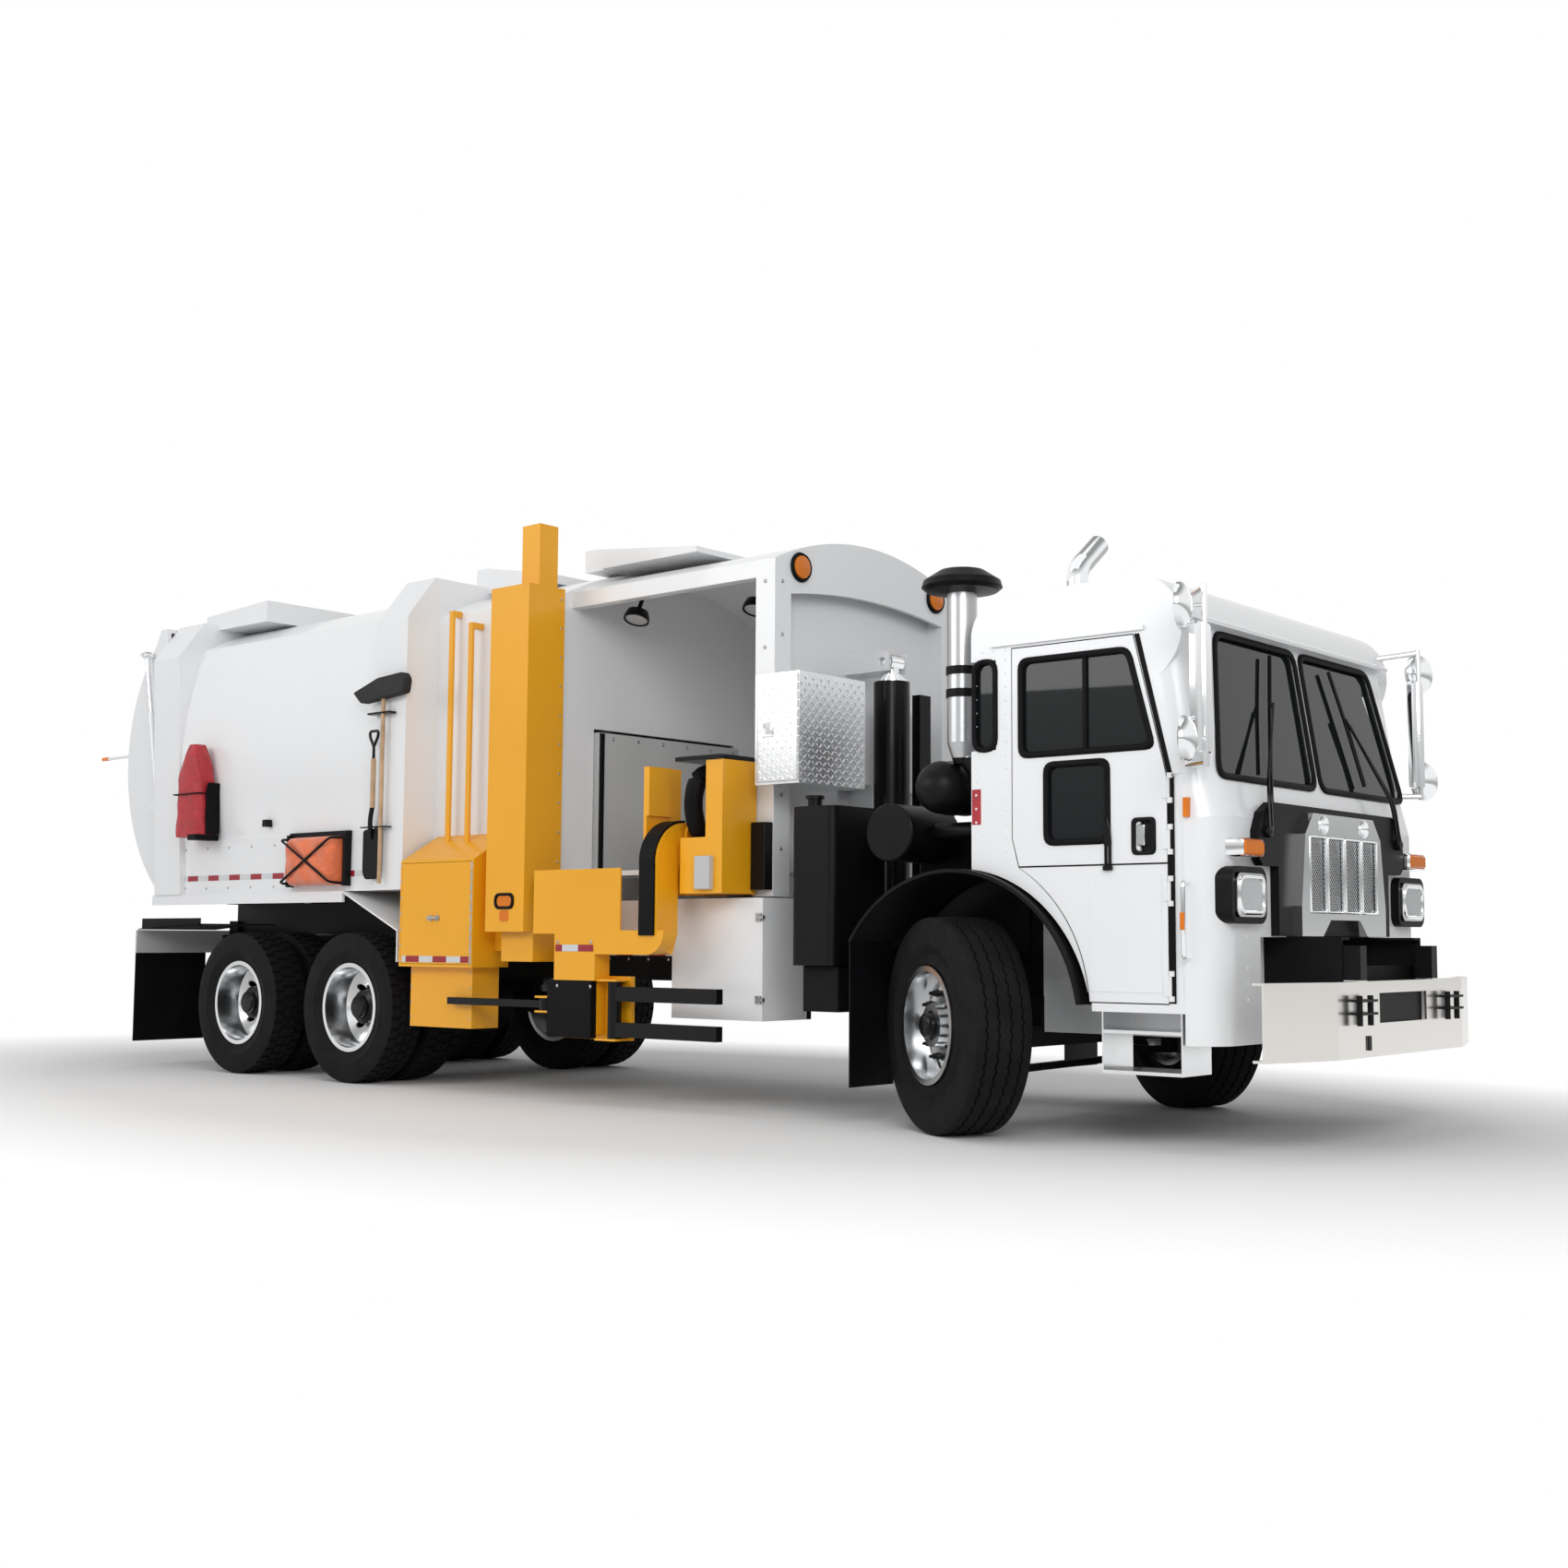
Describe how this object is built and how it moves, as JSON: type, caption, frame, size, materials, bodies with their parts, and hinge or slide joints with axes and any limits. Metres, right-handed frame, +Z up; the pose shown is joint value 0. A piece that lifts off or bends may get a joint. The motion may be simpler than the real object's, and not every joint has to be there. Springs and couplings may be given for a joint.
{
  "type": "side loading garbage truck",
  "caption": "White garbage truck with a low cab, a tipping body, a sliding packer, a lifting tailgate and a side arm with a gripper.",
  "frame": {"origin": "on the ground, in the middle of the truck's length and width", "axes": "+X towards the front of the truck, +Y to its left side, +Z up"},
  "size_m": [10.6, 2.954, 3.58],
  "materials": {
    "white_paint": "gloss",
    "polished_aluminium": "polished",
    "yellow_paint": "gloss",
    "grey_paint": "satin",
    "black_paint": "satin",
    "dark_metal": "matte",
    "black_plastic": "matte",
    "grey_plastic": "matte",
    "chrome": "polished",
    "aluminium": "satin",
    "tyre": "matte",
    "rubber": "matte",
    "glass": "clear",
    "lamp_lens": "gloss",
    "amber_lens": "gloss",
    "red_cloth": "satin",
    "orange_cloth": "matte",
    "wood": "satin"
  },
  "bodies": {
    "chassis": {"chassis_frame": "black_paint", "engine_block": "dark_metal", "axles": "black_paint", "cab_shell": "white_paint", "cab_glass": "glass", "grille": "chrome", "grille_surround": "black_plastic", "lamp_housings": "black_plastic", "headlamps": "lamp_lens", "amber_lamps": "amber_lens", "mirrors": "chrome", "front_bumper": "chrome", "front_fenders": "black_plastic", "cab_steps": "aluminium", "cab_interior": "grey_plastic", "tanks": "black_paint", "exhaust_stack": "chrome", "air_intake": "black_plastic"},
    "left_knuckle": {"knuckle_left": "black_paint"},
    "right_knuckle": {"knuckle_right": "black_paint"},
    "steering_rod": {"tie_rod": "black_paint"},
    "front_wheel_left": {"front_tyre_left": "tyre", "front_rim_left": "polished_aluminium"},
    "front_wheel_right": {"front_tyre_right": "tyre", "front_rim_right": "polished_aluminium"},
    "second_wheels_left": {"second_tyres_left": "tyre", "second_rims_left": "polished_aluminium"},
    "second_wheels_right": {"second_tyres_right": "tyre", "second_rims_right": "polished_aluminium"},
    "third_wheels_left": {"third_tyres_left": "tyre", "third_rims_left": "polished_aluminium"},
    "third_wheels_right": {"third_tyres_right": "tyre", "third_rims_right": "polished_aluminium"},
    "upper_right_door": {"right_door_upper": "white_paint"},
    "lower_right_door": {"right_door_lower": "white_paint"},
    "whole_left_door": {"left_door": "white_paint"},
    "tipping_body": {"body_frame": "white_paint", "locker_door": "white_paint", "hopper_shell": "white_paint", "container_shell": "white_paint", "toolbox": "aluminium", "lift_column": "yellow_paint", "extinguisher_cover": "red_cloth", "orange_bag": "orange_cloth", "broom_and_shovel": "wood"},
    "toolbox_lid": {"toolbox_door": "aluminium"},
    "lift_locker_lid": {"lift_locker_door": "yellow_paint"},
    "packer_head": {"packer": "grey_paint"},
    "tailgate_body": {"tailgate": "white_paint"},
    "tailgate_cylinder_barrels": {"tailgate_barrels": "white_paint"},
    "tailgate_cylinder_rods": {"tailgate_rods": "chrome"},
    "hoist_base": {"hoist_casing": "black_paint"},
    "hoist_first_stage": {"hoist_stage_1": "chrome"},
    "hoist_second_stage": {"hoist_stage_2": "chrome"},
    "hoist_third_stage": {"hoist_stage_3": "chrome"},
    "arm_slide_body": {"arm_carriage": "yellow_paint"},
    "arm_lift_body": {"gooseneck": "yellow_paint", "arm_rubber": "rubber"},
    "front_finger": {"gripper_front": "black_paint"},
    "rear_finger": {"gripper_rear": "black_paint"}
  },
  "joints": [
    {"name": "steer_left", "type": "hinge", "parent": "chassis", "child": "left_knuckle", "pos_m": [3.4, 0.96, 0.55], "axis": [0, 0, 1], "range_deg": [-6.65, 63.35]},
    {"name": "steer_right", "type": "hinge", "parent": "chassis", "child": "right_knuckle", "pos_m": [3.4, -0.96, 0.55], "axis": [0, 0, 1], "range_deg": [-6.7, 63.4]},
    {"name": "tie_rod_turn", "type": "hinge", "parent": "left_knuckle", "child": "steering_rod", "pos_m": [3.1087, 0.9467, 0.285], "axis": [0, 0, 1], "range_deg": [-74.3, 7.9]},
    {"name": "front_wheel_left_spin", "type": "hinge", "parent": "left_knuckle", "child": "front_wheel_left", "pos_m": [3.46885, 1.08761, 0.55], "axis": [0.4749, 0.8801, 0], "continuous": true},
    {"name": "front_wheel_right_spin", "type": "hinge", "parent": "right_knuckle", "child": "front_wheel_right", "pos_m": [3.33115, -1.08761, 0.55], "axis": [0.4749, 0.8801, 0], "continuous": true},
    {"name": "second_wheels_left_spin", "type": "hinge", "parent": "chassis", "child": "second_wheels_left", "pos_m": [-1.6915, 0.915, 0.51], "axis": [0, 1, 0], "continuous": true},
    {"name": "second_wheels_right_spin", "type": "hinge", "parent": "chassis", "child": "second_wheels_right", "pos_m": [-1.6915, -0.915, 0.51], "axis": [0, 1, 0], "continuous": true},
    {"name": "third_wheels_left_spin", "type": "hinge", "parent": "chassis", "child": "third_wheels_left", "pos_m": [-3.0385, 0.915, 0.51], "axis": [0, 1, 0], "continuous": true},
    {"name": "third_wheels_right_spin", "type": "hinge", "parent": "chassis", "child": "third_wheels_right", "pos_m": [-3.0385, -0.915, 0.51], "axis": [0, 1, 0], "continuous": true},
    {"name": "right_door_upper_open", "type": "hinge", "parent": "chassis", "child": "upper_right_door", "pos_m": [4.614, -1.172, 1.57], "axis": [0, 0, 1], "range_deg": [0, 80]},
    {"name": "right_door_lower_open", "type": "hinge", "parent": "chassis", "child": "lower_right_door", "pos_m": [4.614, -1.172, 0.99], "axis": [0, 0, 1], "range_deg": [0, 80]},
    {"name": "left_door_open", "type": "hinge", "parent": "chassis", "child": "whole_left_door", "pos_m": [4.614, 1.172, 1.23], "axis": [0, 0, -1], "range_deg": [0, 80]},
    {"name": "tip", "type": "hinge", "parent": "chassis", "child": "tipping_body", "pos_m": [-4.25, 0, 1.062], "axis": [0, -1, 0], "range_deg": [0, 40]},
    {"name": "toolbox_open", "type": "hinge", "parent": "tipping_body", "child": "toolbox_lid", "pos_m": [2.205, -1.04, 2.165], "axis": [0, 0, 1], "range_deg": [0, 100]},
    {"name": "lift_locker_open", "type": "hinge", "parent": "tipping_body", "child": "lift_locker_lid", "pos_m": [-0.304, -1.28, 1.141], "axis": [0, 0, 1], "range_deg": [0, 100]},
    {"name": "packer_slide", "type": "slide", "parent": "tipping_body", "child": "packer_head", "axis": [-1, 0, 0], "range_m": [-1.25, 0.6]},
    {"name": "tailgate_open", "type": "hinge", "parent": "tipping_body", "child": "tailgate_body", "pos_m": [-4.25, 0, 3.52], "axis": [0, 1, 0], "range_deg": [0, 90]},
    {"name": "tailgate_barrel_turn", "type": "hinge", "parent": "tipping_body", "child": "tailgate_cylinder_barrels", "pos_m": [-4.255, 0, 1.99], "axis": [0, 1, 0], "range_deg": [-0.1, 1.8]},
    {"name": "tailgate_rod_slide", "type": "slide", "parent": "tailgate_cylinder_barrels", "child": "tailgate_cylinder_rods", "axis": [-0.2023, 0, 0.9793], "range_m": [0, 0.58]},
    {"name": "hoist_turn", "type": "hinge", "parent": "chassis", "child": "hoist_base", "pos_m": [2.06, 0, 0.9], "axis": [0, -1, 0], "range_deg": [0, 24.8]},
    {"name": "hoist_first_slide", "type": "slide", "parent": "hoist_base", "child": "hoist_first_stage", "axis": [0, 0, 1], "range_m": [0, 1.412]},
    {"name": "hoist_second_slide", "type": "slide", "parent": "hoist_first_stage", "child": "hoist_second_stage", "axis": [0, 0, 1], "range_m": [0, 1.412]},
    {"name": "hoist_third_slide", "type": "slide", "parent": "hoist_second_stage", "child": "hoist_third_stage", "axis": [0, 0, 1], "range_m": [0, 1.412]},
    {"name": "arm_slide", "type": "slide", "parent": "tipping_body", "child": "arm_slide_body", "axis": [0, -1, 0], "range_m": [0, 1.25]},
    {"name": "arm_lift", "type": "hinge", "parent": "arm_slide_body", "child": "arm_lift_body", "pos_m": [1.3, -1, 1.58], "axis": [-1, 0, 0], "range_deg": [0, 140]},
    {"name": "gripper_front_close", "type": "hinge", "parent": "arm_lift_body", "child": "front_finger", "pos_m": [0.97, -1.235, 0.565], "axis": [0, 0, -1], "range_deg": [0, 90]},
    {"name": "gripper_rear_close", "type": "hinge", "parent": "arm_lift_body", "child": "rear_finger", "pos_m": [0.37, -1.235, 0.585], "axis": [0, 0, 1], "range_deg": [0, 90]}
  ],
  "couplings": [
    {"joint": "steer_right", "follows": "steer_left", "ratio": 1},
    {"joint": "tie_rod_turn", "follows": "steer_left", "ratio": -1.17},
    {"joint": "tailgate_barrel_turn", "follows": "tailgate_open", "ratio": 0.0186},
    {"joint": "tailgate_rod_slide", "follows": "tailgate_open", "m_per_rad": 0.3673},
    {"joint": "hoist_turn", "follows": "tip", "ratio": 0.6175},
    {"joint": "hoist_first_slide", "follows": "tip", "m_per_rad": 2.02},
    {"joint": "hoist_second_slide", "follows": "tip", "m_per_rad": 2.02},
    {"joint": "hoist_third_slide", "follows": "tip", "m_per_rad": 2.02},
    {"joint": "gripper_rear_close", "follows": "gripper_front_close", "ratio": 1}
  ]
}
